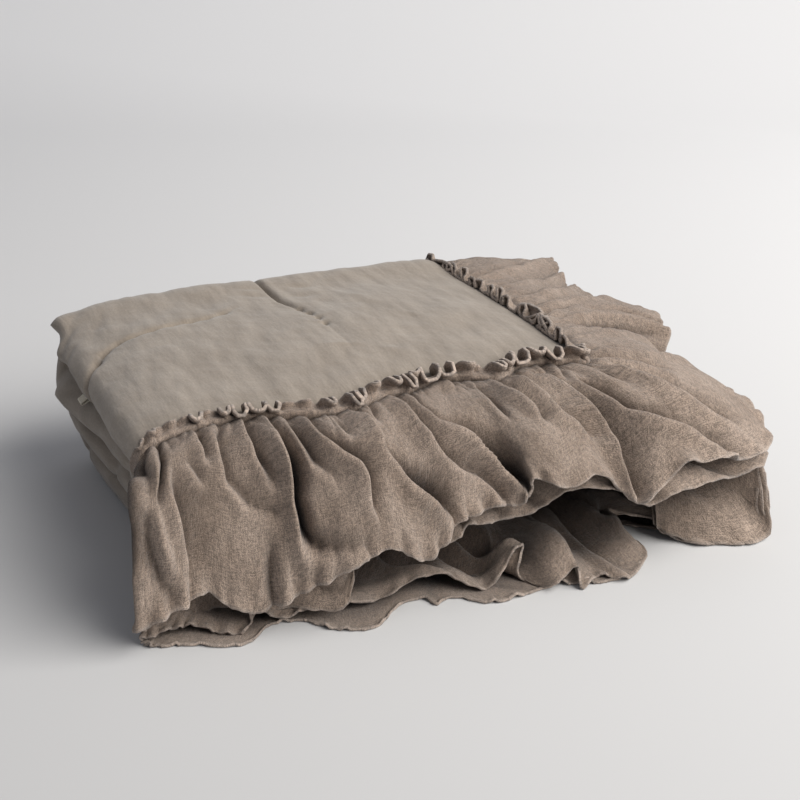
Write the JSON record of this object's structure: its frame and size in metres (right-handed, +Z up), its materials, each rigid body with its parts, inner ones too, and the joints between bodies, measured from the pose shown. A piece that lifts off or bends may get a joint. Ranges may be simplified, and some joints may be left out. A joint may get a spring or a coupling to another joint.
{
  "type": "baby blanket",
  "caption": "Lightly wadded linen baby blanket with a deep gathered gauze ruffle round its edge, folded back and forth into a soft pile.",
  "frame": {"origin": "middle of the whole folded pile's outline, on the surface it lies on", "axes": "+X to the right along the front edge, towards the ruffled side edges; +Y to the back, where the levels turn; +Z up"},
  "size_m": [0.5646, 0.4596, 0.156],
  "materials": {
    "washed_linen": "stone-washed plain linen, warm taupe, matt with soft creases",
    "linen_gauze": "open-weave washed linen gauze, a browner taupe, matt and crinkled",
    "cotton_tape": "plain cream woven cotton tape, bare"
  },
  "bodies": {
    "root": {"quilt": "washed_linen", "ruffle_upper": "linen_gauze", "ruffle_lower": "linen_gauze", "label": "cotton_tape"}
  },
  "joints": []
}
